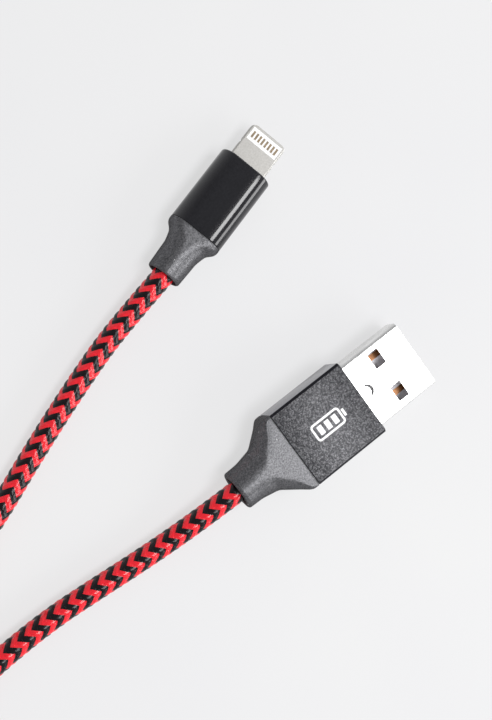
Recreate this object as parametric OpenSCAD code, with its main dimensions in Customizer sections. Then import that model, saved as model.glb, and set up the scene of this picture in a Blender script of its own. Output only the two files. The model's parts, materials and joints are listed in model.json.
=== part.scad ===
// A charging cable lying on a surface: a braided cord with a flat charger plug on one end
// and an eight-contact phone plug on the other, and its spare length wound in a tied coil.
// The origin is on the surface, under the middle of the charger plug's cover. +X runs out
// of the charger plug's mouth and +Z is up. Millimetres and degrees.

/* [Charger plug] */
// Width of the metal shell
shell_w = 12; // [11.9:0.1:12.1]
// Height of the metal shell
shell_h = 4.5; // [4.4:0.1:4.6]
// Thickness of the shell's sheet metal
shell_t = 0.3; // [0.25:0.05:0.35]
// Length of the shell in front of the cover
shell_out = 11.9; // [11.6:0.1:12.4]
// Width of the cover
cover_w = 13.6; // [13.4:0.1:14.4]
// Height of the cover
cover_h = 7; // [6.8:0.1:7.6]
// Length of the cover
cover_l = 14; // [13.6:0.1:15]
// Wall thickness of the cover
cover_t = 0.5; // [0.3:0.1:0.5]
// Bevel along the cover's long edges
cover_bevel = 0.4; // [0.2:0.05:0.5]
// Length of the strain relief behind the cover
relief_l = 10.8; // [10:0.1:14]
// Diameter of the strain relief at its mouth
relief_d = 6.7; // [6:0.1:6.8]

/* [Phone plug] */
// Width of the metal tab
tab_w = 6.7; // [6.6:0.05:6.8]
// Thickness of the metal tab
tab_h = 1.5; // [1.45:0.05:1.55]
// Length of the tab in front of the cover
tab_out = 6.6; // [6.5:0.05:6.8]
// Width of the cover
phone_cover_w = 9.4; // [9.2:0.1:10]
// Height of the cover
phone_cover_h = 5.9; // [5.8:0.1:6.6]
// Length of the cover
phone_cover_l = 13.6; // [13.4:0.1:15]
// Wall thickness of the cover
phone_cover_t = 0.6; // [0.4:0.1:0.6]
// Corner radius of the cover's section
phone_cover_r = 2.5; // [2:0.1:2.9]
// Length of the strain relief behind the cover
phone_relief_l = 8.5; // [8:0.1:12]
// Diameter of the strain relief at its mouth
phone_relief_d = 5.8; // [5.4:0.1:5.8]

/* [Cord] */
// Outer diameter of the braided cord
cord_d = 3.7; // [3.4:0.1:3.9]
// Diameter of the coil at the middle of its turns
coil_d = 40; // [38:1:44]
// Width of the tie that holds the coil
tie_w = 9; // [6:0.5:12]
// Thickness of the tie
tie_t = 0.8; // [0.6:0.1:1]

/* [Layout] */
// Where the phone plug's cover starts, along X
phone_x = 14.5; // [10:0.5:20]
// Where the phone plug's cover starts, along Y
phone_y = 40.3; // [36:0.1:44]
// How far the phone plug is turned from +X
phone_turn = 16; // [14:0.5:18]

/* [Hidden] */
$fn = 48;
OVER = 0.5;                              // how far a cut runs past the face that it opens

// Charger plug: x is measured from the cover's front face, z from the plug's axis
shell_in = 7;                            // shell held behind the cover's front face
shell_r = 0.7;                           // the shell's outer corners
cover_front = 1.2;                       // thickness of the cover's front wall
throat_x = 2.6;                          // front face of the block that fills the shell's rear
tongue_h = 1.84;                         // thickness of the tongue that carries the contacts
tongue_back = 0.5;                       // how far the tongue stops short of the shell's lip
tongue_top = tongue_h - shell_h / 2 + shell_t;
window_at = [6, 3.25];                   // middle of each latch window, along x and across
window_size = [2.05, 2.8];
window_r = 0.25;
lance_x = 1.6;                           // centre of the crescent-shaped retaining cut
lance_r = 1.1;
lance_w = 0.55;                          // its width in the middle
seam_w = 0.12;                           // gap where the sheet's two edges meet underneath
contact_w = 1;
contact_t = 0.3;
contact_proud = 0.05;                    // how far the contacts stand above the tongue
contact_y = [-3.5, -1, 1, 3.5];
contact_tip = [10.7, 9.7, 9.7, 10.7];    // the two outer contacts are the longer pair
tail_x = -9.2;                           // rear end of the solder tails
tail_top = tongue_top + contact_proud;
can_back = -12.2;                        // rear face of the shield behind the shell
barrel_back = -14.8;                     // rear end of the crimp barrel
spigot_l = 1.1;                          // how far each strain relief reaches into its cover
relief_shoulder = 1.3;                   // length of the relief that keeps the cover's outline
relief_knee = 5.3;                       // where the relief's slope meets its neck
relief_knee_w = 8;
mouth_recess = [5, 1];                   // diameter and depth of the recess in each mouth

// Phone plug: x is measured from the cover's front face, z from the plug's axis
tab_in = 3.5;                            // tab held behind the cover's front face
tab_edge_r = 0.3;                        // rounding along the tab's long edges
tab_tip_r = 0.95;                        // rounding of the tip's corners
patch_x = [3.85, 6.15];                  // the white insulating patch, from and to along x
patch_w = 5.7;
core_w = 5.2;                            // the core's strip inside the tab
core_h = 1;
pad_x = [4.4, 5.6];                      // contact pads, from and to along x
pad_w = 0.35;
pad_pitch = 0.65;
pad_proud = 0.02;
lead_w = 0.2;                            // leads that run from the pads back to the board
lead_z = [0.3, 0.4];
lead_back = -4.5;
notch_x = 3.1;                           // latch notches in the tab's two edges
notch_r = 0.55;
notch_depth = 0.22;
phone_cover_front = 0.9;                 // thickness of the cover's front wall
board_x = [-8.8, -3.6];
board_w = 6.2;
board_t = 0.6;
chip_x = [-7, -4.8];
chip_w = 2.4;
chip_t = 0.7;
capacitor = [1, 0.5, 0.5];
capacitor_x = -5.6;
capacitor_y = 2.1;
can_size = [7.6, 3.6];                   // the phone plug's shield, width and height
can_wall = 0.25;
can_r = 0.6;
can_x = [-11.4, -1.2];
phone_barrel_back = -14.2;
phone_spigot_l = 0.8;
phone_shoulder = 0.8;                    // length of the relief that keeps the cover's outline
phone_flare = [1.9, 3.8];                // where the hollow flare bends, behind the cover
phone_flare_w = [7.2, 6.2];              // its width at those places

// Wires and crimps, the same in both plugs
jacket_r = 1.45;                         // the cord's inner jacket
barrel_t = 0.3;
wire_r = 0.35;
bare_r = 0.18;
bare_l = 0.9;                            // stripped end of each wire
bare_in = 0.2;                           // how far the bare end starts inside its insulation
core_offset = 0.55;                      // each wire's place from the jacket's centre
solder_r = 0.6;
jacket_x = -11.4;                        // front end of the jacket in the charger plug
turn_x = -10;                            // where the charger plug's wires reach their tails
strip_x = -8.9;
phone_jacket_x = -10.8;
phone_turn_x = -9.4;
phone_strip_x = -8.4;
board_pad_y = [-2.1, -0.7, 0.7, 2.1];

// Cord. Each route runs from its plug's crimp to the coil, as [x, y, rise], where rise is how
// far the cord is lifted off the surface. The phone side leaves the coil over its outer turn.
tube_sides = 8;
coil_centre = [-102, 14.5];
coil_half = 2.1 * cord_d;                // half the width of the turns side by side
coil_h = 2 * cord_d;                     // height of the two layers of turns
coil_round = 0.4 * cord_d;               // how far the coil's outer corners are cut off
charger_rise = (cover_h - cord_d) / 2;
phone_rise = (phone_cover_h - cord_d) / 2;
charger_route = [
    [cover_l / 2 + barrel_back, 0, charger_rise], [-17.8, 0, charger_rise], [-24, 0, 0.8],
    [-30.5, 0.2, 0.1], [-37, 0.7, 0], [-44, 1.4, 0], [-51, 2, 0], [-58, 2.1, 0], [-64.5, 1.7, 0],
    [-71, 0.1, 0], [-77.3, -2.1, 0], [-83.4, -4.9, 0], [-89, -8, 0]
];
phone_route = [
    [phone_x + phone_barrel_back * cos(phone_turn), phone_y + phone_barrel_back * sin(phone_turn),
     phone_rise],
    [-6.7, 34.2, phone_rise], [-13, 32.7, 0.4], [-20, 30.9, 0], [-27.5, 28.4, 0], [-34.5, 25.8, 0],
    [-41.5, 23, 0], [-48, 20.3, 0], [-54.5, 18, 0], [-60.5, 16.9, 0.2], [-66, 18, 0.8],
    [-71, 20.8, 1.8], [-75.5, 24.7, 3], [-80, 29.1, 3.8], [-83.7, 32.8, 3.7]
];

// ---- placing and shared shapes ----

module at_charger() translate([cover_l / 2, 0, cover_h / 2]) children();

module at_phone() translate([phone_x, phone_y, phone_cover_h / 2]) rotate([0, 0, phone_turn]) children();

// Extrudes an outline drawn in width and height along the plug's axis, from x0 to x1
module along(x0, x1) translate([x0, 0, 0]) rotate([90, 0, 90]) linear_extrude(x1 - x0) children();

module rounded(w, h, r) {
    square([w - 2 * r, h], center = true);
    square([w, h - 2 * r], center = true);
    for (side = [-1, 1], level = [-1, 1]) translate([side * (w / 2 - r), level * (h / 2 - r)]) circle(r);
}

module bevelled(w, h, b) polygon([
    [-w / 2 + b, -h / 2], [w / 2 - b, -h / 2], [w / 2, -h / 2 + b], [w / 2, h / 2 - b],
    [w / 2 - b, h / 2], [-w / 2 + b, h / 2], [-w / 2, h / 2 - b], [-w / 2, -h / 2 + b]
]);

module stadium(w, h) {
    square([w - h, h], center = true);
    for (side = [-1, 1]) translate([side * (w - h) / 2, 0]) circle(h / 2);
}

// A box given by its lowest and highest corners
module block(low, high) translate(low) cube(high - low);

// A round bar from point a to point b
module rod(a, b, r) {
    run = b - a;
    translate(a) rotate([0, acos(run.z / norm(run)), atan2(run.y, run.x)]) cylinder(r = r, h = norm(run));
}

// A sheet-metal crimp barrel round the cord's inner jacket
module barrel(x0, x1) along(x0, x1) difference() {
    circle(jacket_r + barrel_t);
    circle(jacket_r);
}

// The direction of a route at point i, from its neighbours
function heading(p, i) =
    let (run = p[min(i + 1, len(p) - 1)] - p[max(i - 1, 0)]) run / norm(run);

// One ring of a tube round point i of a route
function ring(p, i, r) =
    let (ahead = heading(p, i), side = cross([0, 0, 1], ahead), across = side / norm(side),
         up = cross(ahead, across))
    [for (k = [0:tube_sides - 1]) let (a = 360 * k / tube_sides) p[i] + r * (cos(a) * across + sin(a) * up)];

// A tube of radius r along a route, closed at both ends
module tube(p, r) {
    last = tube_sides * (len(p) - 1);
    polyhedron(
        points = [for (i = [0:len(p) - 1]) each ring(p, i, r)],
        faces = concat(
            [[for (k = [0:tube_sides - 1]) k]],
            [for (i = [0:len(p) - 2], k = [0:tube_sides - 1])
                let (a = i * tube_sides + k, b = i * tube_sides + (k + 1) % tube_sides)
                [a, a + tube_sides, b + tube_sides, b]],
            [[for (k = [tube_sides - 1:-1:0]) last + k]]
        )
    );
}

// A wire from the jacket's end to a solder place at height pad_top: core is its place in the
// jacket, as signs across and up
module wire(core, pad_y, pad_top, from_x, bend_x, bare_x) {
    level = pad_top + wire_r;
    tube([[from_x, core.x * core_offset, core.y * core_offset], [bend_x, pad_y, level],
          [bare_x, pad_y, level]], wire_r);
    rod([bare_x - bare_in, pad_y, level], [bare_x + bare_l, pad_y, level], bare_r);
}

// The solder over one wire's bare end
module solder(pad_y, pad_top, bare_x) difference() {
    translate([bare_x + bare_l / 2, pad_y, pad_top]) sphere(solder_r);
    block([bare_x - 1, pad_y - 1, pad_top - 1], [bare_x + 2, pad_y + 1, pad_top]);
    rod([bare_x - 1, pad_y, pad_top + wire_r], [bare_x, pad_y, pad_top + wire_r], wire_r);
    rod([bare_x, pad_y, pad_top + wire_r], [bare_x + bare_l, pad_y, pad_top + wire_r], bare_r);
}

// ---- charger plug ----

module shell_outer() rounded(shell_w, shell_h, shell_r);
module shell_inner() rounded(shell_w - 2 * shell_t, shell_h - 2 * shell_t, shell_r - shell_t);

module charger_plug_shell() color("gainsboro") at_charger() difference() {
    along(-shell_in, shell_out) difference() {
        shell_outer();
        shell_inner();
    }
    for (side = [-1, 1]) translate([window_at.x, side * window_at.y, -shell_h])
        linear_extrude(2 * shell_h) rounded(window_size.x, window_size.y, window_r);
    translate([lance_x, 0, 0]) linear_extrude(shell_h) difference() {
        circle(lance_r);
        translate([-lance_w, 0]) circle(lance_r);
    }
    block([-shell_in - OVER, -seam_w / 2, -shell_h], [shell_out + OVER, seam_w / 2, 0]);
}

module contact_strips() for (i = [0:3])
    block([tail_x, contact_y[i] - contact_w / 2, tail_top - contact_t],
          [contact_tip[i], contact_y[i] + contact_w / 2, tail_top]);

module charger_plug_insulator() color("whitesmoke") at_charger() difference() {
    union() {
        along(-shell_in, throat_x) shell_inner();
        along(throat_x, shell_out - tongue_back) intersection() {
            shell_inner();
            translate([-shell_w / 2, -shell_h]) square([shell_w, shell_h + tongue_top]);
        }
    }
    contact_strips();
}

module charger_plug_contacts() color("goldenrod") at_charger() contact_strips();

module charger_plug_rear_shield() color("silver") at_charger() {
    along(can_back + shell_t, -shell_in) difference() {
        shell_outer();
        shell_inner();
    }
    along(can_back, can_back + shell_t) difference() {
        shell_outer();
        circle(jacket_r);
    }
    barrel(barrel_back, can_back);
}

module cover_bore() bevelled(cover_w - 2 * cover_t, cover_h - 2 * cover_t, cover_bevel / 2);

module charger_plug_inner_mould() color("dimgray") at_charger() difference() {
    along(spigot_l - cover_l, -cover_front) cover_bore();
    along(can_back, 0) shell_outer();
    along(-cover_l, can_back) circle(jacket_r + barrel_t);
}

module charger_plug_cover() color("darkslategray") at_charger() difference() {
    along(-cover_l, 0) bevelled(cover_w, cover_h, cover_bevel);
    along(-cover_l - OVER, -cover_front) cover_bore();
    along(-cover_front - OVER, OVER) shell_outer();
}

module charger_plug_strain_relief() color("dimgray") at_charger() difference() {
    union() {
        along(-cover_l, spigot_l - cover_l) cover_bore();
        along(-cover_l - relief_shoulder, -cover_l) bevelled(cover_w, cover_h, cover_bevel);
        hull() {
            along(-cover_l - relief_shoulder - 0.01, -cover_l - relief_shoulder)
                bevelled(cover_w, cover_h, cover_bevel);
            along(-cover_l - relief_knee, -cover_l - relief_knee + 0.01)
                stadium(relief_knee_w, cover_h - 0.1, $fn = 32);
        }
        hull() {
            along(-cover_l - relief_knee, -cover_l - relief_knee + 0.01)
                stadium(relief_knee_w, cover_h - 0.1, $fn = 32);
            along(-cover_l - relief_l, -cover_l - relief_l + 0.01) circle(relief_d / 2, $fn = 32);
        }
    }
    along(-cover_l - relief_l - OVER, 0) circle(cord_d / 2);
    along(-cover_l - relief_l - OVER, -cover_l - relief_l + mouth_recess[1]) circle(mouth_recess[0] / 2);
}

module charger_plug_jacket_end() color("black") at_charger()
    along(barrel_back, jacket_x) circle(jacket_r);

module charger_wire(core, place)
    at_charger() wire(core, contact_y[place], tail_top, jacket_x, turn_x, strip_x);

module charger_plug_power_wire() color("crimson") charger_wire([-1, 1], 0);
module charger_plug_data_minus_wire() color("white") charger_wire([-1, -1], 1);
module charger_plug_data_plus_wire() color("seagreen") charger_wire([1, -1], 2);
module charger_plug_ground_wire() color("black") charger_wire([1, 1], 3);

module charger_plug_solder_joints() color("lightgray") at_charger()
    for (y = contact_y) solder(y, tail_top, strip_x);

// ---- phone plug ----

module tab_section() rounded(tab_w, tab_h, tab_edge_r);

module tab_plan() {
    translate([-tab_in, -tab_w / 2]) square([tab_in + tab_out - tab_tip_r, tab_w]);
    translate([-tab_in, tab_tip_r - tab_w / 2]) square([tab_in + tab_out, tab_w - 2 * tab_tip_r]);
    for (side = [-1, 1]) translate([tab_out - tab_tip_r, side * (tab_w / 2 - tab_tip_r)]) circle(tab_tip_r);
}

module core_shape() {
    block([patch_x[0], -patch_w / 2, -tab_h / 2], [patch_x[1], patch_w / 2, tab_h / 2]);
    block([-tab_in, -core_w / 2, -core_h / 2], [patch_x[0], core_w / 2, core_h / 2]);
}

module phone_plug_tab_frame() color("silver") at_phone() difference() {
    intersection() {
        along(-tab_in, tab_out) tab_section();
        translate([0, 0, -tab_h]) linear_extrude(2 * tab_h) tab_plan();
    }
    core_shape();
    for (side = [-1, 1]) translate([notch_x, side * (tab_w / 2 + notch_r - notch_depth), -tab_h])
        cylinder(r = notch_r, h = 2 * tab_h);
}

// The eight contacts of one face: up is 1 for the upper face and -1 for the lower one
module contact_row(up) for (i = [0:7]) {
    y = (i - 3.5) * pad_pitch;
    pad = up > 0 ? [lead_z[0], tab_h / 2 + pad_proud] : [-tab_h / 2 - pad_proud, -lead_z[0]];
    lead = up > 0 ? lead_z : [-lead_z[1], -lead_z[0]];
    block([pad_x[0], y - pad_w / 2, pad[0]], [pad_x[1], y + pad_w / 2, pad[1]]);
    block([lead_back, y - lead_w / 2, lead[0]], [pad_x[0], y + lead_w / 2, lead[1]]);
}

module phone_plug_tab_core() color("white") at_phone() difference() {
    core_shape();
    contact_row(1);
    contact_row(-1);
}

module phone_plug_upper_contacts() color("goldenrod") at_phone() contact_row(1);
module phone_plug_lower_contacts() color("goldenrod") at_phone() contact_row(-1);

module phone_plug_circuit_board() color("darkgreen") at_phone()
    block([board_x[0], -board_w / 2, -board_t / 2], [board_x[1], board_w / 2, board_t / 2]);

module phone_plug_control_chip() color("black") at_phone()
    block([chip_x[0], -chip_w / 2, board_t / 2], [chip_x[1], chip_w / 2, board_t / 2 + chip_t]);

module phone_plug_capacitors() color("tan") at_phone() for (side = [-1, 1], up = [-1, 1])
    translate([capacitor_x, side * capacitor_y, up * (board_t + capacitor.z) / 2])
        cube(capacitor, center = true);

module can_outer() rounded(can_size[0], can_size[1], can_r);

module phone_plug_shield() color("silver") at_phone() {
    difference() {
        along(can_x[0], can_x[1]) can_outer();
        along(can_x[0] + can_wall, can_x[1] - can_wall)
            rounded(can_size[0] - 2 * can_wall, can_size[1] - 2 * can_wall, can_r - can_wall);
        along(can_x[1] - 1, can_x[1] + OVER) tab_section();
        along(can_x[0] - OVER, can_x[0] + 1) circle(jacket_r);
    }
    barrel(phone_barrel_back, can_x[0]);
}

module phone_cover_outer() rounded(phone_cover_w, phone_cover_h, phone_cover_r);
module phone_cover_bore() rounded(phone_cover_w - 2 * phone_cover_t, phone_cover_h - 2 * phone_cover_t,
                                  phone_cover_r - phone_cover_t);

module phone_plug_inner_mould() color("dimgray") at_phone() difference() {
    along(phone_spigot_l - phone_cover_l, -phone_cover_front) phone_cover_bore();
    along(can_x[0], can_x[1]) can_outer();
    along(can_x[1] - OVER, 0) tab_section();
    along(-phone_cover_l, can_x[0] + OVER) circle(jacket_r + barrel_t);
}

module phone_plug_cover() color("black") at_phone() difference() {
    along(-phone_cover_l, 0) phone_cover_outer();
    along(-phone_cover_l - OVER, -phone_cover_front) phone_cover_bore();
    along(-phone_cover_front - OVER, OVER) tab_section();
}

// A thin slice of the phone plug's strain relief, x behind the cover
module flare_slice(x, w) along(-phone_cover_l - x, -phone_cover_l - x + 0.01)
    stadium(w, min(w, phone_cover_h - 0.1), $fn = 32);

module phone_plug_strain_relief() color("dimgray") at_phone() difference() {
    union() {
        along(-phone_cover_l, phone_spigot_l - phone_cover_l) phone_cover_bore();
        along(-phone_cover_l - phone_shoulder, -phone_cover_l) phone_cover_outer();
        hull() {
            along(-phone_cover_l - phone_shoulder - 0.01, -phone_cover_l - phone_shoulder)
                phone_cover_outer($fn = 32);
            flare_slice(phone_flare[0], phone_flare_w[0]);
        }
        hull() {
            flare_slice(phone_flare[0], phone_flare_w[0]);
            flare_slice(phone_flare[1], phone_flare_w[1]);
        }
        hull() {
            flare_slice(phone_flare[1], phone_flare_w[1]);
            flare_slice(phone_relief_l, phone_relief_d + 0.01);
        }
    }
    along(-phone_cover_l - phone_relief_l - OVER, 0) circle(cord_d / 2);
    along(-phone_cover_l - phone_relief_l - OVER, -phone_cover_l - phone_relief_l + mouth_recess[1])
        circle(mouth_recess[0] / 2);
}

module phone_plug_jacket_end() color("black") at_phone()
    along(phone_barrel_back, phone_jacket_x) circle(jacket_r);

module phone_wire(core, place) at_phone()
    wire(core, board_pad_y[place], board_t / 2, phone_jacket_x, phone_turn_x, phone_strip_x);

module phone_plug_power_wire() color("crimson") phone_wire([-1, 1], 0);
module phone_plug_data_minus_wire() color("white") phone_wire([-1, -1], 1);
module phone_plug_data_plus_wire() color("seagreen") phone_wire([1, -1], 2);
module phone_plug_ground_wire() color("black") phone_wire([1, 1], 3);

module phone_plug_solder_joints() color("lightgray") at_phone()
    for (y = board_pad_y) solder(y, board_t / 2, phone_strip_x);

// ---- cord ----

module lifted_tube(route) translate([0, 0, cord_d / 2]) tube(route, cord_d / 2);

module cord_charger_side() color("firebrick") lifted_tube(charger_route);
module cord_phone_side() color("firebrick") lifted_tube(phone_route);

// The outer shape of two layers of turns, each layer lying side by side
module coil_section() translate([0, coil_h / 2]) bevelled(2 * coil_half, coil_h, coil_round);

module coil_ring() translate([coil_centre.x, coil_centre.y, 0]) rotate_extrude($fn = 96)
    translate([coil_d / 2, 0]) coil_section();

// Extrudes an outline drawn in width and height through the tie's place on the coil
module at_tie() translate([coil_centre.x - coil_d / 2, coil_centre.y + tie_w / 2, 0])
    rotate([90, 0, 0]) linear_extrude(tie_w) children();

module tie_room() at_tie() translate([-coil_half - 2 * tie_t, -OVER])
    square([2 * coil_half + 4 * tie_t, coil_h + 3 * tie_t]);

// The turns lie on the surface, and on the tie's lower band where it goes round them
module cord_coil() color("firebrick") {
    difference() {
        coil_ring();
        tie_room();
    }
    intersection() {
        translate([0, 0, tie_t]) coil_ring();
        tie_room();
    }
}

module cord_tie() color("black") difference() {
    at_tie() translate([0, coil_h / 2 + tie_t])
        bevelled(2 * (coil_half + tie_t), coil_h + 2 * tie_t, coil_round + tie_t / 2);
    translate([0, 0, tie_t]) coil_ring();
}

charger_plug_shell();
charger_plug_insulator();
charger_plug_contacts();
charger_plug_rear_shield();
charger_plug_inner_mould();
charger_plug_cover();
charger_plug_strain_relief();
charger_plug_jacket_end();
charger_plug_power_wire();
charger_plug_data_minus_wire();
charger_plug_data_plus_wire();
charger_plug_ground_wire();
charger_plug_solder_joints();
phone_plug_tab_frame();
phone_plug_tab_core();
phone_plug_upper_contacts();
phone_plug_lower_contacts();
phone_plug_circuit_board();
phone_plug_control_chip();
phone_plug_capacitors();
phone_plug_shield();
phone_plug_inner_mould();
phone_plug_cover();
phone_plug_strain_relief();
phone_plug_jacket_end();
phone_plug_power_wire();
phone_plug_data_minus_wire();
phone_plug_data_plus_wire();
phone_plug_ground_wire();
phone_plug_solder_joints();
cord_charger_side();
cord_phone_side();
cord_coil();
cord_tie();
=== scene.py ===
"""The looks of the charging cable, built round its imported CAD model. Lengths are in millimetres
in the tables and helpers here, and become metres as each mesh is made."""

import json
import math

import bmesh
import bpy
import numpy as np
from mathutils import Matrix, Vector


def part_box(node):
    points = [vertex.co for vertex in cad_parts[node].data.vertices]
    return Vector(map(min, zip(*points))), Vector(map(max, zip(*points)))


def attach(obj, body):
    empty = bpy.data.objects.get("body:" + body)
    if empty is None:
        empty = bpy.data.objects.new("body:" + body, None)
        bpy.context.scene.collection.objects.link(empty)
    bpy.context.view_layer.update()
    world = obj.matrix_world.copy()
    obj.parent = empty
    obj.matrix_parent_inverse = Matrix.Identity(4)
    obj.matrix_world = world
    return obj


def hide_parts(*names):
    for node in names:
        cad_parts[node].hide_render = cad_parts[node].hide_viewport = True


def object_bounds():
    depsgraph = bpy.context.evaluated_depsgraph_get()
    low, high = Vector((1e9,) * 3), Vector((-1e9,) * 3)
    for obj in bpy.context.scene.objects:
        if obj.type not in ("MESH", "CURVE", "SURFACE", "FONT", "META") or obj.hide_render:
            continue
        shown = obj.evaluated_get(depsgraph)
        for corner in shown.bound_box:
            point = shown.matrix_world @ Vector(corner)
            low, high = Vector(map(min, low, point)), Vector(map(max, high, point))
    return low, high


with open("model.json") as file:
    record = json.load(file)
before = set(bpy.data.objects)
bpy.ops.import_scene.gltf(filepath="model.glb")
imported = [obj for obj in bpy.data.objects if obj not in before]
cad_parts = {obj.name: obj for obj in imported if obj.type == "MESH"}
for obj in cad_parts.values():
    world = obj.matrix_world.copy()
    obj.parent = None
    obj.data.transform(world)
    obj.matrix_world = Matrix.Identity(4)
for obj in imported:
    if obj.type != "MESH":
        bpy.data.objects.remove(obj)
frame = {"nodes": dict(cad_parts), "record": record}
cad_low, cad_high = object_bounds()

MM = 0.001
ROOT = "root"


# ---- where the plugs are, from the record's mounts ----

def mount(name):
    """A mount's place in millimetres and its axis."""
    found = next(m for m in frame["record"]["mounts"] if m["name"] == name)
    return np.array(found["pos_m"]) / MM, np.array(found["axis"], float)


def plug_frame(mount_name, sticks_out):
    """The matrix that puts a plug's own millimetres, x from its cover's front face and z from
    its axis, in the row frame in metres."""
    place, axis = mount(mount_name)
    across = np.cross((0, 0, 1), axis)
    origin = place - axis * sticks_out
    turn = np.array([axis, across, (0, 0, 1)]).T
    rows = [[*(MM * v), MM * o] for v, o in zip(turn, origin)]
    return Matrix([*rows, [0, 0, 0, 1]])


SHELL_OUT = 11.9
TAB_OUT = 6.6
CHARGER = plug_frame("charger_plug_mouth", SHELL_OUT)
PHONE = plug_frame("phone_plug_tip", TAB_OUT)


# ---- camera ----

CAMERA_AT = Vector((-39.6, 34.4, 173.6)) * MM
CAMERA_LOOKS = Vector((0.209, -0.110, -1)).normalized()
CAMERA_ROLL = math.radians(-36.55)
CAMERA_LENS = 55


def make_camera():
    data = bpy.data.cameras.new("camera")
    data.lens = CAMERA_LENS
    data.sensor_width = 36
    data.clip_start, data.clip_end = 0.01, 10
    camera = bpy.data.objects.new("camera", data)
    bpy.context.scene.collection.objects.link(camera)
    right = Vector((math.cos(CAMERA_ROLL), math.sin(CAMERA_ROLL), 0))
    right = (right - CAMERA_LOOKS * right.dot(CAMERA_LOOKS)).normalized()
    up = right.cross(CAMERA_LOOKS)
    turn = Matrix((right, up, -CAMERA_LOOKS)).transposed()
    camera.matrix_world = Matrix.Translation(CAMERA_AT) @ turn.to_4x4()
    bpy.context.scene.camera = camera


# ---- the cord's centreline ----

CORD_D = 3.7
CORD_RADIUS = CORD_D / 2
COIL_CENTRE = (-102, 14.5)
COIL_RADIUS = 20
COIL_START = -60                     # degrees: where the charger side joins the coil
COIL_TURNS = 3.2                     # turns in each layer
COIL_SPREAD = 1.6 * CORD_D           # how far the outer turn is from the coil's middle radius
COIL_TOTAL = 2415                    # degrees, clockwise
COIL_STEP = 15
TIE_LIFT = 0.8
TIE_AT = 180
TIE_FLAT = 20                        # degrees each side of the tie that are lifted fully
TIE_EASE = 25                        # degrees over which the lift fades

# Each side's route from its crimp to the coil, as [x, y, rise off the surface]
CHARGER_ROUTE = [
    (-7.8, 0, 1.65), (-17.8, 0, 1.65), (-24, 0, 0.8), (-30.5, 0.2, 0.1), (-37, 0.7, 0),
    (-44, 1.4, 0), (-51, 2, 0), (-58, 2.1, 0), (-64.5, 1.7, 0), (-71, 0.1, 0),
    (-77.3, -2.1, 0), (-83.4, -4.9, 0),
]
PHONE_ROUTE = [
    (0.85, 36.4, 1.1), (-6.7, 34.2, 1.1), (-13, 32.7, 0.4), (-20, 30.9, 0), (-27.5, 28.4, 0),
    (-34.5, 25.8, 0), (-41.5, 23, 0), (-48, 20.3, 0), (-54.5, 18, 0), (-60.5, 16.9, 0.2),
    (-66, 18, 0.8), (-71, 20.8, 1.8), (-75.5, 24.7, 3), (-80, 29.1, 3.8),
]


def smooth(t):
    t = np.clip(t, 0, 1)
    return t * t * (3 - 2 * t)


def coil_route():
    """The coil's turns, clockwise: a layer spiralling in, then one on it spiralling out."""
    turned = np.arange(0, COIL_TOTAL + 1, COIL_STEP, dtype=float)
    layer_ends = 360 * COIL_TURNS
    climb = COIL_TOTAL - 2 * layer_ends
    inward = np.minimum(turned, layer_ends) / 360
    outward = np.maximum(turned - layer_ends - climb, 0) / 360
    radius = COIL_RADIUS + COIL_SPREAD + CORD_D * (outward - inward)
    rise = CORD_D * smooth((turned - layer_ends) / climb)
    angle = COIL_START - turned
    from_tie = np.abs((angle - TIE_AT + 180) % 360 - 180)
    rise = rise + TIE_LIFT * smooth((TIE_FLAT + TIE_EASE - from_tie) / TIE_EASE)
    a = np.radians(angle)
    x = COIL_CENTRE[0] + radius * np.cos(a)
    y = COIL_CENTRE[1] + radius * np.sin(a)
    return np.stack([x, y, rise], 1)


def spline(points, steps):
    """A centripetal Catmull-Rom curve through the points."""
    p = np.vstack([2 * points[0] - points[1], points, 2 * points[-1] - points[-2]])
    knots = np.concatenate([[0], np.cumsum(np.linalg.norm(np.diff(p, axis=0), axis=1) ** 0.5)])
    made = []
    for i in range(1, len(p) - 2):
        t0, t1, t2, t3 = knots[i - 1:i + 3]
        t = np.linspace(t1, t2, steps, endpoint=False)[:, None]
        a1 = ((t1 - t) * p[i - 1] + (t - t0) * p[i]) / (t1 - t0)
        a2 = ((t2 - t) * p[i] + (t - t1) * p[i + 1]) / (t2 - t1)
        a3 = ((t3 - t) * p[i + 1] + (t - t2) * p[i + 2]) / (t3 - t2)
        b1 = ((t2 - t) * a1 + (t - t0) * a2) / (t2 - t0)
        b2 = ((t3 - t) * a2 + (t - t1) * a3) / (t3 - t1)
        made.append(((t2 - t) * b1 + (t - t1) * b2) / (t2 - t1))
    return np.vstack([*made, p[-2:-1]])


def evenly(line, step):
    """The line again, with its points a fixed step apart."""
    along = np.concatenate([[0], np.cumsum(np.linalg.norm(np.diff(line, axis=0), axis=1))])
    at = np.arange(0, along[-1], step)
    return np.stack([np.interp(at, along, line[:, k]) for k in range(3)], 1)


def carried_frames(line):
    """Two directions across the line at each of its points, carried along it without twist."""
    ahead = np.gradient(line, axis=0)
    ahead /= np.linalg.norm(ahead, axis=1)[:, None]
    across = np.empty_like(line)
    side = np.cross((0, 0, 1), ahead[0])
    for i, t in enumerate(ahead):
        side = side - t * side.dot(t)
        side = side / np.linalg.norm(side)
        across[i] = side
    return across, np.cross(ahead, across)


# ---- helpers for meshes ----

def make_object(name, mesh, *materials):
    piece = bpy.data.objects.new(name, mesh)
    bpy.context.scene.collection.objects.link(piece)
    for m in materials:
        mesh.materials.append(m)
    return piece


def own(piece, slot, *nodes):
    """The piece rides on the part's one body and stands for these CAD nodes."""
    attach(piece, ROOT)
    if nodes:
        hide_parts(*nodes)
    return piece


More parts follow.
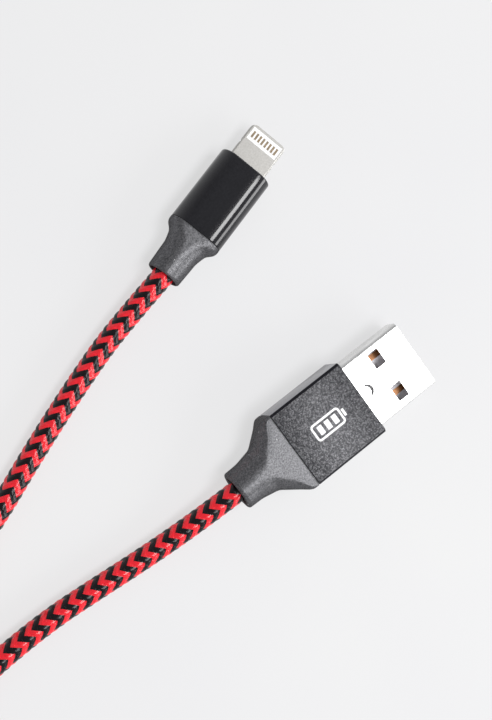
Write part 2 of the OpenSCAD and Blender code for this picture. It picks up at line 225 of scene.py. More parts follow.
def rounded_outline(w, h, r, steps=8, flat=4):
    """A rectangle with round corners, anticlockwise from the top of the right side. Each side
    has the same number of points at any size, so that outlines can be lofted."""
    r = min(r, w / 2 - 1e-4, h / 2 - 1e-4)
    points = []
    for k, (sx, sy) in enumerate([(1, 1), (-1, 1), (-1, -1), (1, -1)]):
        for a in np.linspace(90 * k, 90 * k + 90, steps):
            points.append((sx * (w / 2 - r) + r * math.cos(math.radians(a)),
                           sy * (h / 2 - r) + r * math.sin(math.radians(a))))
    made = []
    for here, after in zip(points, points[1:] + points[:1]):
        made.append(here)
        if len(made) % (steps + flat) == steps:
            made += [tuple(np.array(here) + (np.array(after) - here) * (i + 1) / (flat + 1))
                     for i in range(flat)]
    return np.array(made)


def bevelled_outline(w, h, cut, edge_r=0.07, steps=4):
    """A rectangle with cut corners, whose eight edges are rounded a little."""
    corners = [(w / 2, h / 2 - cut), (w / 2 - cut, h / 2),
               (cut - w / 2, h / 2), (-w / 2, h / 2 - cut),
               (-w / 2, cut - h / 2), (cut - w / 2, -h / 2),
               (w / 2 - cut, -h / 2), (w / 2, cut - h / 2)]
    made = []
    for before, here, after in zip(corners[-1:] + corners[:-1], corners, corners[1:] + corners[:1]):
        b, c, a = (np.array(p) for p in (before, here, after))
        back = (b - c) / np.linalg.norm(b - c)
        on = (a - c) / np.linalg.norm(a - c)
        reach = edge_r * math.tan(math.pi / 8)
        for t in np.linspace(0, 1, steps):
            made.append(c + back * reach * (1 - t) ** 2 + on * reach * t ** 2)
    return np.array(made)


def skin(rings, count):
    """The faces of a closed mesh through rings of count points each."""
    faces = []
    for start in range(0, (rings - 1) * count, count):
        for k in range(count):
            a, b = start + k, start + (k + 1) % count
            faces.append((a, b, b + count, a + count))
    first, last = range(count - 1, -1, -1), range((rings - 1) * count, rings * count)
    return [*faces, tuple(first), tuple(last)]


def face_out(mesh, sharp):
    """Turns every face outwards, and shades smooth all edges under the sharp angle."""
    bm = bmesh.new()
    bm.from_mesh(mesh)
    bmesh.ops.recalc_face_normals(bm, faces=bm.faces)
    bm.to_mesh(mesh)
    bm.free()
    mesh.shade_smooth()
    mesh.set_sharp_from_angle(angle=math.radians(sharp))


def loft(name, rings, place, sharp):
    """A mesh through rings of points, each (x, outline), put in place by a plug's matrix."""
    verts = [(x, y, z) for x, outline in rings for y, z in outline]
    mesh = bpy.data.meshes.new(name)
    mesh.from_pydata(verts, [], skin(len(rings), len(rings[0][1])))
    mesh.transform(place)
    face_out(mesh, sharp)
    return mesh


# ---- helpers for materials ----

class Surface:
    """A node material with a Principled shader, and short ways to add texture to it."""

    def __init__(self, name, color, roughness, metallic=0.0, **sockets):
        self.material = bpy.data.materials.new(name)
        self.material.use_nodes = True
        self.tree = self.material.node_tree
        self.shader = self.tree.nodes["Principled BSDF"]
        self.shader.inputs["Base Color"].default_value = (*color, 1)
        self.shader.inputs["Roughness"].default_value = roughness
        self.shader.inputs["Metallic"].default_value = metallic
        for key, value in sockets.items():
            self.shader.inputs[key.replace("_", " ")].default_value = value
        self.material.diffuse_color = (*color, 1)
        self.place = self.node("ShaderNodeTexCoord").outputs["Object"]
        self.height = None

    def node(self, kind, **values):
        made = self.tree.nodes.new(kind)
        for key, value in values.items():
            if key in made.inputs:
                made.inputs[key].default_value = value
            else:
                setattr(made, key, value)
        return made

    def link(self, a, b):
        self.tree.links.new(a, b)

    def noise(self, size_mm, detail=3.0, rough=0.5, place=None):
        """Noise whose features are about size_mm across."""
        made = self.node("ShaderNodeTexNoise", Scale=1 / (size_mm * MM), Detail=detail,
                         Roughness=rough)
        self.link(place or self.place, made.inputs["Vector"])
        return made.outputs["Fac"]

    def cells(self, size_mm):
        """A random value for each small cell, about size_mm across."""
        made = self.node("ShaderNodeTexVoronoi", Scale=1 / (size_mm * MM))
        self.link(self.place, made.inputs["Vector"])
        split = self.node("ShaderNodeSeparateColor")
        self.link(made.outputs["Color"], split.inputs["Color"])
        return split.outputs[0]

    def ramp(self, value, *stops):
        made = self.node("ShaderNodeValToRGB")
        elements = made.color_ramp.elements
        while len(elements) < len(stops):
            elements.new(0.5)
        for element, (at, color) in zip(elements, stops):
            element.position = at
            element.color = (*color, 1) if hasattr(color, "__len__") else (color, color, color, 1)
        self.link(value, made.inputs["Fac"])
        return made.outputs["Color"]

    def mix(self, amount, a, b, how="MIX"):
        """Colour a with b mixed into it by amount, each a socket, a number or a colour."""
        made = self.node("ShaderNodeMix", data_type="RGBA", blend_type=how)
        for socket, value in ((made.inputs[0], amount), (made.inputs[6], a), (made.inputs[7], b)):
            if hasattr(value, "links"):
                self.link(value, socket)
            elif socket.type == "RGBA":
                socket.default_value = (*value, 1)
            else:
                socket.default_value = value
        return made.outputs[2]

    def math(self, how, a, b=0.0):
        made = self.node("ShaderNodeMath", operation=how)
        for socket, value in zip(made.inputs, (a, b)):
            if hasattr(value, "links"):
                self.link(value, socket)
            else:
                socket.default_value = value
        return made.outputs[0]

    def color(self, socket):
        self.link(socket, self.shader.inputs["Base Color"])

    def roughness(self, value, low, high):
        made = self.node("ShaderNodeMapRange")
        made.inputs["To Min"].default_value = low
        made.inputs["To Max"].default_value = high
        self.link(value, made.inputs["Value"])
        self.link(made.outputs["Result"], self.shader.inputs["Roughness"])

    def bump(self, value, depth_mm, strength=1.0):
        """Adds a bump of that depth, on top of any before it."""
        made = self.node("ShaderNodeBump", Distance=depth_mm * MM, Strength=strength)
        self.link(value, made.inputs["Height"])
        if self.height is not None:
            self.link(self.height, made.inputs["Normal"])
        self.height = made.outputs["Normal"]
        self.link(self.height, self.shader.inputs["Normal"])


# ---- materials ----

def metal_shell():
    """Bright nickel-plated sheet, drawn along its length."""
    s = Surface("nickel_sheet", (0.76, 0.76, 0.75), 0.3, metallic=0.9)
    cloud = s.noise(2.5, 4)
    s.color(s.ramp(cloud, (0.3, (0.7, 0.7, 0.69)), (0.7, (0.82, 0.82, 0.81))))
    s.roughness(s.noise(0.6, 5), 0.22, 0.34)
    return s.material


def metal_tab():
    """Bead-blasted satin metal."""
    s = Surface("satin_tab", (0.44, 0.43, 0.41), 0.45, metallic=0.5)
    s.color(s.ramp(s.noise(0.25, 4), (0.3, (0.4, 0.39, 0.37)), (0.7, (0.48, 0.47, 0.45))))
    s.roughness(s.noise(0.8), 0.36, 0.5)
    s.bump(s.noise(0.12, 2), 0.0008)
    return s.material


def plated(name, dark, light, metallic):
    """A contact's plating, worn and tarnished in places."""
    s = Surface(name, light, 0.34, metallic)
    s.color(s.ramp(s.noise(0.4, 4), (0.3, dark), (0.7, light)))
    s.roughness(s.noise(0.3), 0.26, 0.42)
    s.bump(s.noise(0.15), 0.004)
    return s.material


def cover_paint():
    """Charcoal enamel with a fine grain, and lighter specks that are painted sparkle."""
    s = Surface("charcoal_grain", (0.09, 0.09, 0.095), 0.42, metallic=0.4)
    value = s.cells(0.13)
    grain = s.noise(0.3, 3, 0.6)
    base = s.ramp(grain, (0.36, (0.014, 0.014, 0.018)), (0.5, (0.045, 0.045, 0.05)),
                  (0.64, (0.14, 0.14, 0.148)))
    # Painted sparkle: lighter specks that stand for the enamel's glints.
    painted_sparkle = s.ramp(value, (0.86, 0.0), (1.0, 0.6))
    s.color(s.mix(painted_sparkle, base, (0.34, 0.34, 0.36)))
    s.roughness(value, 0.34, 0.54)
    s.bump(grain, 0.03)
    s.bump(value, 0.012)
    return s.material


def cover_edge():
    """The cover's two long sides, where the enamel is smooth and shines at a low angle. Their
    colour is lighter than the top's: a painted sheen.
    """
    s = Surface("smooth_enamel_painted_sheen", (0.2, 0.2, 0.22), 0.2, metallic=0.5)
    # Painted sheen: the same enamel as the top, coloured lighter here.
    s.color(s.ramp(s.noise(0.25, 3), (0.3, (0.16, 0.16, 0.18)), (0.7, (0.24, 0.24, 0.265))))
    s.roughness(s.noise(0.4, 3), 0.15, 0.26)
    s.bump(s.noise(0.25, 3), 0.004)
    return s.material


def shaded_bevel():
    """The polished bevel of the charger plug's cover, with its near-black colour as painted shade.
    """
    s = Surface("bevel_painted_shade", (0.006, 0.006, 0.01), 0.3, Specular_IOR_Level=0.15)
    # Painted shade: the bevel is coloured near black.
    s.color(s.ramp(s.noise(0.3, 3), (0.3, (0.004, 0.004, 0.007)), (0.7, (0.01, 0.01, 0.014))))
    s.bump(s.noise(0.2), 0.006)
    return s.material


def relief_rubber():
    """Satin rubber with a fine grain and a little dust. It hardly shines at a low angle."""
    s = Surface("relief_rubber", (0.11, 0.11, 0.115), 0.42, metallic=0.7,
                Specular_Tint=(0.1, 0.1, 0.1, 1))
    grain = s.noise(0.26, 4, 0.7)
    base = s.ramp(grain, (0.34, (0.06, 0.06, 0.064)), (0.66, (0.17, 0.17, 0.178)))
    dust = s.ramp(s.noise(0.5, 2), (0.745, 0.0), (0.77, 1.0))
    s.color(s.mix(dust, base, (0.6, 0.6, 0.6)))
    s.roughness(s.noise(0.5), 0.36, 0.48)
    s.bump(grain, 0.02)
    return s.material


def phone_gloss():
    """Glossy black lacquer with faint wear."""
    s = Surface("black_gloss", (0.006, 0.006, 0.008), 0.2, Coat_Weight=0.3, Coat_Roughness=0.1)
    wear = s.noise(0.3, 5, 0.7)
    s.color(s.ramp(wear, (0.35, (0.004, 0.004, 0.006)), (0.75, (0.012, 0.012, 0.015))))
    s.roughness(s.noise(0.35, 5, 0.7), 0.06, 0.18)
    s.bump(s.noise(0.3, 4, 0.6), 0.004)
    return s.material


def white_print():
    s = Surface("white_print", (0.86, 0.86, 0.86), 0.45)
    s.color(s.ramp(s.noise(0.12, 3), (0.25, (0.74, 0.74, 0.75)), (0.6, (0.92, 0.92, 0.92))))
    s.bump(s.noise(0.15), 0.008)
    return s.material


def moulded(name, color, roughness=0.5, grain_mm=0.3, metallic=0.0):
    """Plain moulded plastic or dull metal for the pieces inside the plugs."""
    s = Surface(name, color, roughness, metallic)
    dark, light = (tuple(c * k for c in color) for k in (0.82, 1.08))
    s.color(s.ramp(s.noise(grain_mm, 3), (0.3, dark), (0.7, light)))
    s.roughness(s.noise(2 * grain_mm), 0.85 * roughness, 1.15 * roughness)
    s.bump(s.noise(grain_mm), 0.006)
    return s.material


def tongue_plastic():
    """The charger plug's insulator: a pale tongue in front of a dark grey block. The block's dark
    grey is painted shade inside the shell.
    """
    s = Surface("tongue_plastic", (0.8, 0.78, 0.82), 0.5)
    split = s.node("ShaderNodeSeparateXYZ")
    s.link(s.place, split.inputs[0])
    # Painted shade: behind the tongue, the insulator is coloured dark grey.
    block = s.ramp(s.math("MULTIPLY", split.outputs["X"], 0.05 / MM), (0.478, 1.0), (0.482, 0.0))
    pale = s.ramp(s.noise(0.3), (0.3, (0.7, 0.68, 0.72)), (0.7, (0.86, 0.84, 0.88)))
    s.color(s.mix(block, pale, (0.1, 0.1, 0.105)))
    s.bump(s.noise(0.3), 0.006)
    return s.material


def yarn(name, dark, light, painted_glint, groove, ior):
    """Nylon yarn: fine fibres along the float, which the UV map's u follows. Painted glints lie on
    some fibres, and painted shade darkens the yarn where its crown is low.
    """
    s = Surface(name, light, 0.22, IOR=ior)
    uv = s.node("ShaderNodeUVMap", uv_map="yarn").outputs["UV"]
    stretch = s.node("ShaderNodeMapping")
    stretch.inputs["Scale"].default_value = (0.6, 6.5, 1)
    s.link(uv, stretch.inputs["Vector"])
    fibres = s.node("ShaderNodeTexNoise", Scale=1.6, Detail=3.0, Roughness=0.6)
    s.link(stretch.outputs["Vector"], fibres.inputs["Vector"])
    fibre = fibres.outputs["Fac"]
    base = s.ramp(fibre, (0.3, dark), (0.62, light))
    # Painted glints: a lighter colour on some fibres.
    glint = s.ramp(fibre, (0.7, 0.0), (0.78, 1.0))
    # Painted shade: the colour darkens where the crown is low, in the grooves between yarns and at
    # the ends of floats.
    crown = s.node("ShaderNodeAttribute", attribute_name="crown").outputs["Fac"]
    shade = s.ramp(crown, (groove, 0.04), (groove + 0.4, 1.0))
    s.color(s.mix(1.0, s.mix(glint, base, painted_glint), shade, "MULTIPLY"))
    s.roughness(s.noise(0.5, 2), 0.14, 0.28)
    s.bump(fibre, 0.022)
    return s.material


def strap_fabric():
    """The looped pile of a hook-and-loop strap."""
    s = Surface("strap_pile", (0.02, 0.02, 0.022), 0.9, Sheen_Weight=0.5, Sheen_Roughness=0.5)
    pile = s.noise(0.35, 5, 0.75)
    s.color(s.ramp(pile, (0.35, (0.008, 0.008, 0.009)), (0.7, (0.05, 0.05, 0.055))))
    s.bump(pile, 0.16)
    return s.material


# ---- the braided cord ----

CARRIERS = 16                        # eight yarns each way
LEAD = 10.45                         # length in which a yarn goes once round
DIVISIONS = 3                        # quads along each side of a crossing
YARN_RISE = 0.14                     # how far a yarn rises over the ones that it crosses
YARN_CROWN = 0.27                    # how far a yarn's middle stands above its edges
BRAID_START = -16                    # degrees: turn of the braid round the cord at the charger plug
BRAID_TWIST = 35                     # how much further it has turned at the phone plug
YARN_APART = 300                     # keeps the two sets' fibres apart in the texture
RING_STEP = LEAD / CARRIERS / DIVISIONS
RING_POINTS = CARRIERS * DIVISIONS // 2


def float_height(across, along):
    """Height of a yarn's surface at places across it, and along it from its float's middle."""
    crown = np.sqrt(np.clip(1 - (2 * across) ** 2 * 0.96, 0, 1))
    return YARN_RISE * np.cos(math.pi * along / 2) + YARN_CROWN * crown


def braid_height(a, b):
    """Height at lattice place (a, b), where yarn i of one set runs along a = i and yarn j of the
    other along b = j. Each yarn passes over two and under two."""
    best = np.full(a.shape, -1.0)
    for da in (-1e-3, 1e-3):
        for db in (-1e-3, 1e-3):
            i, j = np.round(a + da), np.round(b + db)
            first = (i + j) % 4 < 2
            over = (i + b - 0.5 + 2) % 4 - 2
            under = (a + j - 2.5 + 2) % 4 - 2
            h = np.where(first, float_height(a - i, over), float_height(b - j, under))
            best = np.maximum(best, h)
    return best


def braid_mesh(line):
    """A tube of braid along a line whose points are RING_STEP apart. Its quads are diamonds
    that follow the yarns."""
    across, up = carried_frames(line)
    rows = len(line)
    p = np.arange(rows)[:, None]
    q = 2 * np.arange(RING_POINTS)[None, :] + p % 2
    a = (q - p) / 2 / DIVISIONS + 0.5
    b = (q + p) / 2 / DIVISIONS + 0.5
    turned = np.radians(BRAID_START + BRAID_TWIST * smooth(np.arange(rows) / rows))
    angle = 2 * math.pi * (a + b) / CARRIERS + turned[:, None]
    top = YARN_RISE + YARN_CROWN
    height = braid_height(a, b)
    radius = CORD_RADIUS - top + height
    radius[:2] = radius[-2:] = CORD_RADIUS - top
    turn = np.cos(angle)[..., None] * across[:, None] + np.sin(angle)[..., None] * up[:, None]
    verts = (line[:, None] + radius[..., None] * turn).reshape(-1, 3)

    # One diamond round each place (p, q) where p + q is odd
    fp = np.arange(1, rows - 1)[:, None]
    fq = 2 * np.arange(RING_POINTS)[None, :] + (fp + 1) % 2

    def at(row, place):
        place = place % (2 * RING_POINTS)
        return row * RING_POINTS + (place - row % 2) // 2

    corners = [at(fp - 1, fq), at(fp, fq + 1), at(fp + 1, fq), at(fp, fq - 1)]
    quads = np.stack(corners, -1).reshape(-1, 4)
    fa = ((fq - fp) / 2 / DIVISIONS + 0.5).ravel()
    fb = ((fq + fp) / 2 / DIVISIONS + 0.5).ravel()
    i, j = np.round(fa), np.round(fb)
    first = (i + j) % 4 < 2
    black = np.where(first, i, j) % 2 == 1

    # u runs along the yarn and v across it, in crossings; each yarn has its own stretch of v
    ca = fa[:, None] + np.array([0.5, 0.5, -0.5, -0.5]) / DIVISIONS
    cb = fb[:, None] + np.array([-0.5, 0.5, 0.5, -0.5]) / DIVISIONS
    u = np.where(first[:, None], cb, ca)
    v = np.where(first[:, None], ca + 6 * i[:, None], cb + 8 * j[:, None] + YARN_APART)

    mesh = bpy.data.meshes.new("braided_cord")
    ends = []
    for row, onto, turned in ((0, 1, False), (rows - 1, rows - 2, True)):
        verts = np.vstack([verts, line[row]])
        centre = len(verts) - 1
        for k in range(RING_POINTS):
            here = int(at(np.array(row), np.array(2 * k + row % 2)))
            after = int(at(np.array(row), np.array(2 * k + 2 + row % 2)))
            between = int(at(np.array(onto), np.array(2 * k + 1 + row % 2)))
            pair = [(centre, here, between), (centre, between, after)]
            ends += [t[::-1] for t in pair] if turned else pair
    mesh.from_pydata((verts * MM).tolist(), [], quads.tolist() + ends)
    which = np.concatenate([black.astype(np.int32), np.ones(len(ends), np.int32)])
    mesh.polygons.foreach_set("material_index", which)
    # Height over the braid's top, which the yarn materials turn into painted shade in the grooves.
    crown = mesh.attributes.new("crown", "FLOAT", "POINT")
    crowns = np.concatenate([height.ravel() / top, [0, 0]])
    crown.data.foreach_set("value", crowns.astype(np.float32))
    layer = mesh.uv_layers.new(name="yarn")
    uv = np.stack([u, v], -1).reshape(-1, 2)
    uv = np.vstack([uv, np.zeros((3 * len(ends), 2))]).astype(np.float32)
    layer.data.foreach_set("uv", uv.ravel())
    mesh.shade_smooth()
    return mesh


def make_cord():
    keys = np.vstack([CHARGER_ROUTE, coil_route(), PHONE_ROUTE[::-1]]).astype(float)
    keys[:, 2] += CORD_RADIUS
    line = evenly(spline(keys, 16), RING_STEP)
    # The third colour of each yarn is its painted glint, and groove sets where its painted shade
    # begins.
    red = yarn("red_nylon", (0.6, 0.006, 0.014), (0.86, 0.018, 0.032), (1.0, 0.3, 0.32),
               groove=0.2, ior=1.5)
    black = yarn("black_nylon", (0.003, 0.002, 0.003), (0.007, 0.004, 0.006), (0.09, 0.085, 0.09),
                 groove=0.4, ior=1.38)
    cord = make_object("braided_cord", braid_mesh(line), red, black)
    own(cord, "cord_braid", "cord_charger_side", "cord_phone_side", "cord_coil")
    return cord, line


# ---- light and floor ----

FLOOR_SIZE = 8.0
FLOOR_GLOW = 0.62                    # light of its own, which thins the shadows
FLOOR_DROP = 0.00002                 # keeps the floor just under the part


def make_floor():
    half = FLOOR_SIZE / 2
    mesh = bpy.data.meshes.new("floor")
    corners = [(-half, -half, 0), (half, -half, 0), (half, half, 0), (-half, half, 0)]
    mesh.from_pydata(corners, [], [(0, 1, 2, 3)])
    s = Surface("pale_floor", (0.2, 0.2, 0.203), 0.9, Specular_IOR_Level=0,
                Emission_Color=(1, 1, 1, 1), Emission_Strength=FLOOR_GLOW)
    s.color(s.ramp(s.noise(60, 2), (0.3, (0.19, 0.19, 0.2)), (0.7, (0.21, 0.21, 0.212))))
    floor = make_object("floor", mesh, s.material)
    floor.location.z = cad_low.z - FLOOR_DROP


def area_light(name, at, aim, along, size, power):
    """A soft box that faces aim, with its long side as near to the direction along as it can be."""
    data = bpy.data.lights.new(name, "AREA")
    data.shape = "RECTANGLE"
    data.size, data.size_y = size
    data.energy = power
    light = bpy.data.objects.new(name, data)
    bpy.context.scene.collection.objects.link(light)
    back = (Vector(at) - Vector(aim)).normalized()
    side = Vector(along)
    side = (side - back * side.dot(back)).normalized()
    turn = Matrix((side, back.cross(side), back)).transposed()
    light.matrix_world = Matrix.Translation(at) @ turn.to_4x4()


SKY_LEVELS = ((0.0, 0.85), (0.5, 0.55), (0.95, 0.27))      # height and brightness


def make_world():
    """A soft room, dim overhead and brighter towards the horizon."""
    world = bpy.data.worlds.new("studio")
    bpy.context.scene.world = world
    world.use_nodes = True
    nodes, links = world.node_tree.nodes, world.node_tree.links
    height = nodes.new("ShaderNodeSeparateXYZ")
    links.new(nodes.new("ShaderNodeTexCoord").outputs["Generated"], height.inputs[0])
    ramp = nodes.new("ShaderNodeValToRGB")
    ramp.color_ramp.elements.new(0.5)
    for element, (at, level) in zip(ramp.color_ramp.elements, SKY_LEVELS):
        element.position = at
        element.color = (0.98 * level, 0.98 * level, level, 1)
    links.new(height.outputs["Z"], ramp.inputs["Fac"])
    links.new(ramp.outputs["Color"], nodes["Background"].inputs["Color"])


# Each soft box: its name, place, aim, size and power
LIGHTS = [
    ("overhead", (0.08, -0.11, 0.42), (0.05, -0.08, 0), (0.34, 0.14), 1.5),
    ("low_right", (0.25, -0.42, 0.22), (0, 0.02, 0), (0.55, 0.19), 1.7),
]


def make_light():
    make_world()
    phone_axis = PHONE.col[0].xyz
    for name, at, aim, size, power in LIGHTS:
        area_light(name, at, aim, phone_axis, size, power)
    bpy.context.scene.view_settings.view_transform = "Standard"


# ---- the charger plug ----

COVER_L, COVER_W, COVER_H = 14, 13.6, 7
COVER_CUT = 0.4
RELIEF_L, RELIEF_D = 10.8, 6.7
RELIEF_SHOULDER = 1.3
RELIEF_KNEE, RELIEF_KNEE_W = 5.3, 8
MOUTH_D, MOUTH_DEPTH = 5, 1
SEAM = 0.05                          # the joint line between each cover and its relief


def blur(x, table, reach):
    """The height at x of a line through the table's points, softened over reach to each side."""
    at, value = zip(*table)
    return float(np.mean([np.interp(x + d, at, value) for d in np.linspace(-reach, reach, 9)]))


def mouth_rings(end, outer, outline):
    """The relief's rounded lip at x = end, and its recess down to the cord."""
    lip = 0.35
    rings = []
    for a in np.radians(np.linspace(0, 90, 6)):
        rings.append((end + lip - lip * math.sin(a), outline(outer - 2 * lip * (1 - math.cos(a)))))
    for a in np.radians(np.linspace(20, 90, 5)):
        inner = MOUTH_D + 2 * lip * 0.5 * (1 - math.sin(a))
        rings.append((end + 0.5 * lip * (1 - math.cos(a)), outline(inner)))
    rings.append((end + MOUTH_DEPTH, outline(MOUTH_D - 0.2)))
    rings.append((end + MOUTH_DEPTH + 0.15, outline(CORD_D - 0.4)))
    rings.append((end + 2.5 * MOUTH_DEPTH, outline(CORD_D - 0.6)))
    return rings


def charger_cover(*materials):
    """The cover's sleeve, whose faces, long bevels and long sides have a material each."""
    soft = 0.12
    back = -COVER_L + SEAM
    rings = []
    for x, inset in ((back, 2 * soft), (back, soft), (back + 0.5 * soft, 0.3 * soft),
                     (back + soft, 0), (-soft, 0), (-0.5 * soft, 0.3 * soft), (0, soft),
                     (0, 2 * soft)):
        rings.append((x, bevelled_outline(COVER_W - 2 * inset, COVER_H - 2 * inset, COVER_CUT)))
    mesh = loft("charger_cover", rings, CHARGER, sharp=32)
    piece = make_object("charger_cover", mesh, *materials)
    # Bevels get the painted shade and long sides the painted sheen, chosen by the direction of each
    # face.
    for face in mesh.polygons:
        n = face.normal
        if abs(n.x) < 0.3 and abs(n.z) < 0.9:
            face.material_index = 1 if abs(n.z) > 0.45 else 2
    return own(piece, "charger_cover", "charger_plug_cover")


def charger_relief(material):
    """A wedge that narrows from the cover to a round neck. Its ridges fade into the neck."""
    start, end = -COVER_L - SEAM / 2, -COVER_L - RELIEF_L
    knee, shoulder = -COVER_L - RELIEF_KNEE, -COVER_L - RELIEF_SHOULDER
    width = [(-40, RELIEF_D), (end, RELIEF_D), (end + 2.5, RELIEF_D + 0.1),
             (knee, RELIEF_KNEE_W), (shoulder, COVER_W), (10, COVER_W)]
    height = [(-40, RELIEF_D), (end, RELIEF_D), (knee, COVER_H - 0.1), (shoulder, COVER_H),
              (10, COVER_H)]
    corner = [(-40, RELIEF_D / 2), (end + 1, RELIEF_D / 2), (knee, 3.4), (shoulder - 1.2, 2.2),
              (shoulder + 0.4, COVER_CUT), (10, COVER_CUT)]
    rings = [(start, rounded_outline(COVER_W - 0.5, COVER_H - 0.5, COVER_CUT)),
             (start, rounded_outline(COVER_W - 0.08, COVER_H - 0.08, COVER_CUT))]
    for x in np.linspace(start - 0.06, end + 0.36, 40):
        w, h, r = blur(x, width, 0.45), blur(x, height, 0.45), blur(x, corner, 0.3)
        rings.append((x, rounded_outline(w, h, r)))
    rings += mouth_rings(end, RELIEF_D, lambda d: rounded_outline(d, d, d / 2))
    mesh = loft("charger_relief", rings, CHARGER, sharp=50)
    piece = make_object("charger_relief", mesh, material)
    return own(piece, "strain_relief", "charger_plug_strain_relief")


PRINT_T = 0.03


def flat_print(name, shapes, material):
    """Flat shapes printed on the charger plug's cover, each a closed outline in x and y."""
    bm = bmesh.new()
    for outline in shapes:
        top = [bm.verts.new((x, y, COVER_H / 2 + PRINT_T)) for x, y in outline]
        low = [bm.verts.new((x, y, COVER_H / 2 - PRINT_T)) for x, y in outline]
        bm.faces.new(top)
        bm.faces.new(low[::-1])
        for k in range(len(outline)):
            n = (k + 1) % len(outline)
            bm.faces.new((top[k], low[k], low[n], top[n]))
    bmesh.ops.triangulate(bm, faces=[f for f in bm.faces if len(f.verts) > 4])
    bmesh.ops.recalc_face_normals(bm, faces=bm.faces)
    mesh = bpy.data.meshes.new(name)
    bm.to_mesh(mesh)
    bm.free()
    mesh.transform(CHARGER)
    return make_object(name, mesh, material)


def battery_mark(material):
    """A plain battery pictogram: an outlined case with a terminal and three bars."""
    middle = (-COVER_L / 2 - 0.2, 0)
    long_side, short_side, line = 5.7, 3.0, 0.36

    def bar(x, length, width):
        return rounded_outline(length, width, 0.1, steps=4, flat=0) + (x, 0)

    outer = rounded_outline(long_side, short_side, 0.62, steps=6, flat=0)
    inner = rounded_outline(long_side - 2 * line, short_side - 2 * line, 0.62 - line,
                            steps=6, flat=0)
    count = len(outer)
    case = [np.array([outer[k], outer[(k + 1) % count], inner[(k + 1) % count], inner[k]])
            for k in range(count)]
    bars = [bar(x, 0.9, short_side - 4 * line) for x in (-1.45, 0, 1.45)]
    terminal = bar(long_side / 2 + 0.4, 0.45, 1.3)
    shapes = [outline + middle for outline in (*case, *bars, terminal)]
    piece = flat_print("battery_mark", shapes, material)
    return own(piece, "insulator_plastic")


# ---- the phone plug ----

PHONE_L, PHONE_W, PHONE_H, PHONE_R = 13.6, 9.4, 5.9, 2.5
PHONE_RELIEF_L, PHONE_RELIEF_D = 8.5, 5.8


def phone_cover(material):
    soft = 0.3
    rings = [(-PHONE_L + SEAM, rounded_outline(PHONE_W - 0.5, PHONE_H - 0.5, PHONE_R - 0.25)),
             (-PHONE_L + SEAM, rounded_outline(PHONE_W - 0.08, PHONE_H - 0.08, PHONE_R - 0.04)),
             (-PHONE_L + SEAM + 0.07, rounded_outline(PHONE_W, PHONE_H, PHONE_R))]
    for a in np.radians(np.linspace(0, 90, 7)):
        inset = soft * (1 - math.cos(a))
        rings.append((-soft + soft * math.sin(a),
                      rounded_outline(PHONE_W - 2 * inset, PHONE_H - 2 * inset, PHONE_R - inset)))
    piece = make_object("phone_cover", loft("phone_cover", rings, PHONE, sharp=50), material)
    return own(piece, "phone_cover", "phone_plug_cover")


def phone_relief(material):
    """A short shoulder, then a hollow flare down to a round neck."""
    start, end = -PHONE_L - SEAM / 2, -PHONE_L - PHONE_RELIEF_L
    neck, shoulder = -PHONE_L - 3, -PHONE_L - 0.8
    width = [(-40, PHONE_RELIEF_D), (end, PHONE_RELIEF_D), (-PHONE_L - 3.8, 6.2),
             (-PHONE_L - 1.9, 7.2), (shoulder, PHONE_W), (10, PHONE_W)]
    height = [(-40, PHONE_RELIEF_D), (neck, PHONE_RELIEF_D), (shoulder, PHONE_H), (10, PHONE_H)]
    corner = [(-40, PHONE_RELIEF_D / 2), (neck, PHONE_RELIEF_D / 2), (shoulder, PHONE_R),
              (10, PHONE_R)]
    rings = [(start, rounded_outline(PHONE_W - 0.5, PHONE_H - 0.5, PHONE_R - 0.25)),
             (start, rounded_outline(PHONE_W - 0.08, PHONE_H - 0.08, PHONE_R - 0.04))]
    for x in np.linspace(start - 0.06, end + 0.36, 36):
        w, h, r = blur(x, width, 0.4), blur(x, height, 0.4), blur(x, corner, 0.3)
        rings.append((x, rounded_outline(w, h, r)))
    rings += mouth_rings(end, PHONE_RELIEF_D, lambda d: rounded_outline(d, d, d / 2))
    mesh = loft("phone_relief", rings, PHONE, sharp=50)
    return own(make_object("phone_relief", mesh, material), "strain_relief",
               "phone_plug_strain_relief")


# ---- the tie round the coil ----

TIE_T = 0.7
TIE_OVERLAP = 0.3                    # share of a turn where the strap lies on itself
TIE_INSET = 0.8                      # how far the strap's path is inside the CAD tie's outside
TIE_BEGINS = 0.16                    # share of the way round where the strap's inner end is
TIE_GAP = 0.06                       # space under the strap, and between its two layers
TIE_TIP = 2.2                        # length over which its outer end narrows


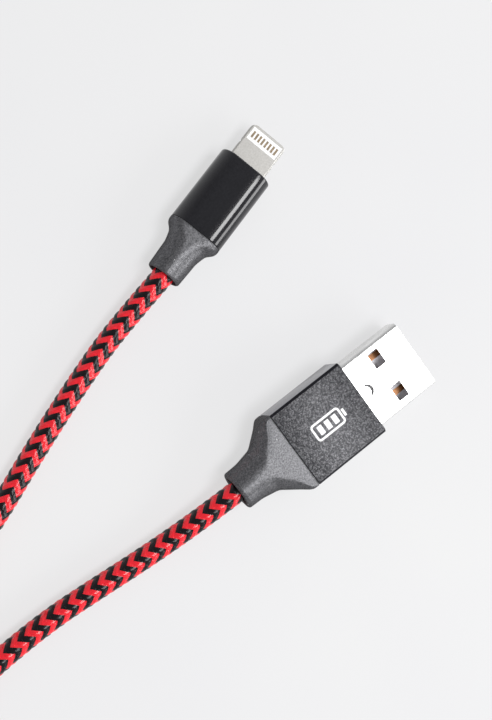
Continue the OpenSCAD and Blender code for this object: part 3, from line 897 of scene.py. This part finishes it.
def make_tie(material):
    """A hook-and-loop strap that goes once round the coil's turns and laps over itself on top."""
    low, high = (np.array(c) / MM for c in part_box("cord_tie"))
    centre = (low + high) / 2
    half_x, half_z = (high[0] - low[0]) / 2 - TIE_INSET, (high[2] - low[2]) / 2 - TIE_INSET
    width = high[1] - low[1]
    around = rounded_outline(2 * half_x, 2 * half_z, 1.6, steps=9, flat=10)
    around = np.vstack([around, around[:1]])
    lengths = np.concatenate([[0], np.cumsum(np.linalg.norm(np.diff(around, axis=0), axis=1))])
    start = lengths[-1] * TIE_BEGINS
    at = np.linspace(start, start + lengths[-1] * (1 + TIE_OVERLAP), 150)
    path = np.stack([np.interp(at % lengths[-1], lengths, around[:, k]) for k in range(2)], 1)
    ahead = np.gradient(path, axis=0)
    ahead /= np.linalg.norm(ahead, axis=1)[:, None]
    out = np.stack([ahead[:, 1], -ahead[:, 0]], 1)
    second = smooth((at - start - lengths[-1] * 0.97) / (lengths[-1] * 0.05))
    lift = TIE_GAP + (TIE_T + TIE_GAP) * second
    from_tip = np.clip((at[-1] - at) / TIE_TIP, 0, 1)
    end_round = np.minimum(1, np.sqrt(from_tip * (2 - from_tip)))
    rings = []
    for p, n, up, narrow in zip(path, out, lift, 0.55 + 0.45 * end_round):
        edge = rounded_outline(width * narrow, TIE_T, 0.28, steps=5, flat=8)
        ring = [(centre[0] + (p + n * (up + TIE_T / 2 + e[1]))[0], centre[1] + e[0],
                 centre[2] + (p + n * (up + TIE_T / 2 + e[1]))[1]) for e in edge]
        rings.append(np.array(ring))
    mesh = bpy.data.meshes.new("coil_tie")
    mesh.from_pydata((np.vstack(rings) * MM).tolist(), [], skin(len(rings), len(rings[0])))
    face_out(mesh, sharp=50)
    return own(make_object("coil_tie", mesh, material), "tie_strap", "cord_tie")


# ---- CAD nodes that show as they are ----

def paint(material, *nodes):
    for n in nodes:
        mesh = frame["nodes"][n].data
        mesh.materials.clear()
        mesh.materials.append(material)


def paint_frame():
    paint(metal_shell(), "charger_plug_shell")
    paint(metal_tab(), "phone_plug_tab_frame")
    paint(plated("copper_contact", (0.12, 0.045, 0.014), (0.27, 0.12, 0.045), 0.6),
          "charger_plug_contacts")
    paint(plated("pale_gold_contact", (0.2, 0.155, 0.1), (0.34, 0.26, 0.18), 0.5),
          "phone_plug_upper_contacts", "phone_plug_lower_contacts")
    paint(tongue_plastic(), "charger_plug_insulator")
    paint(moulded("tab_white", (0.93, 0.93, 0.92), 0.4), "phone_plug_tab_core")
    paint(moulded("tinned_sheet", (0.6, 0.6, 0.6), 0.35, metallic=0.9), "charger_plug_rear_shield",
          "phone_plug_shield")
    paint(moulded("inner_mould", (0.04, 0.04, 0.04), 0.6), "charger_plug_inner_mould",
          "phone_plug_inner_mould")
    paint(moulded("jacket", (0.03, 0.03, 0.03), 0.6), "charger_plug_jacket_end",
          "phone_plug_jacket_end")
    paint(moulded("solder", (0.7, 0.7, 0.7), 0.25, metallic=0.9), "charger_plug_solder_joints",
          "phone_plug_solder_joints")
    for use, color in (("power", (0.6, 0.02, 0.02)), ("data_minus", (0.8, 0.8, 0.8)),
                       ("data_plus", (0.02, 0.3, 0.06)), ("ground", (0.02, 0.02, 0.02))):
        paint(moulded("wire_" + use, color, 0.35), f"charger_plug_{use}_wire",
              f"phone_plug_{use}_wire")
    paint(moulded("circuit_board", (0.02, 0.16, 0.06), 0.35), "phone_plug_circuit_board")
    paint(moulded("chip", (0.03, 0.03, 0.03), 0.5), "phone_plug_control_chip")
    paint(moulded("capacitor", (0.45, 0.33, 0.22), 0.5), "phone_plug_capacitors")


# ---- the scene ----

make_camera()
cord, cord_line = make_cord()
rubber = relief_rubber()
charger_cover(cover_paint(), shaded_bevel(), cover_edge())
charger_relief(rubber)
battery_mark(white_print())
cover = phone_cover(phone_gloss())
relief = phone_relief(rubber)
tie = make_tie(strap_fabric())
paint_frame()
make_light()
make_floor()
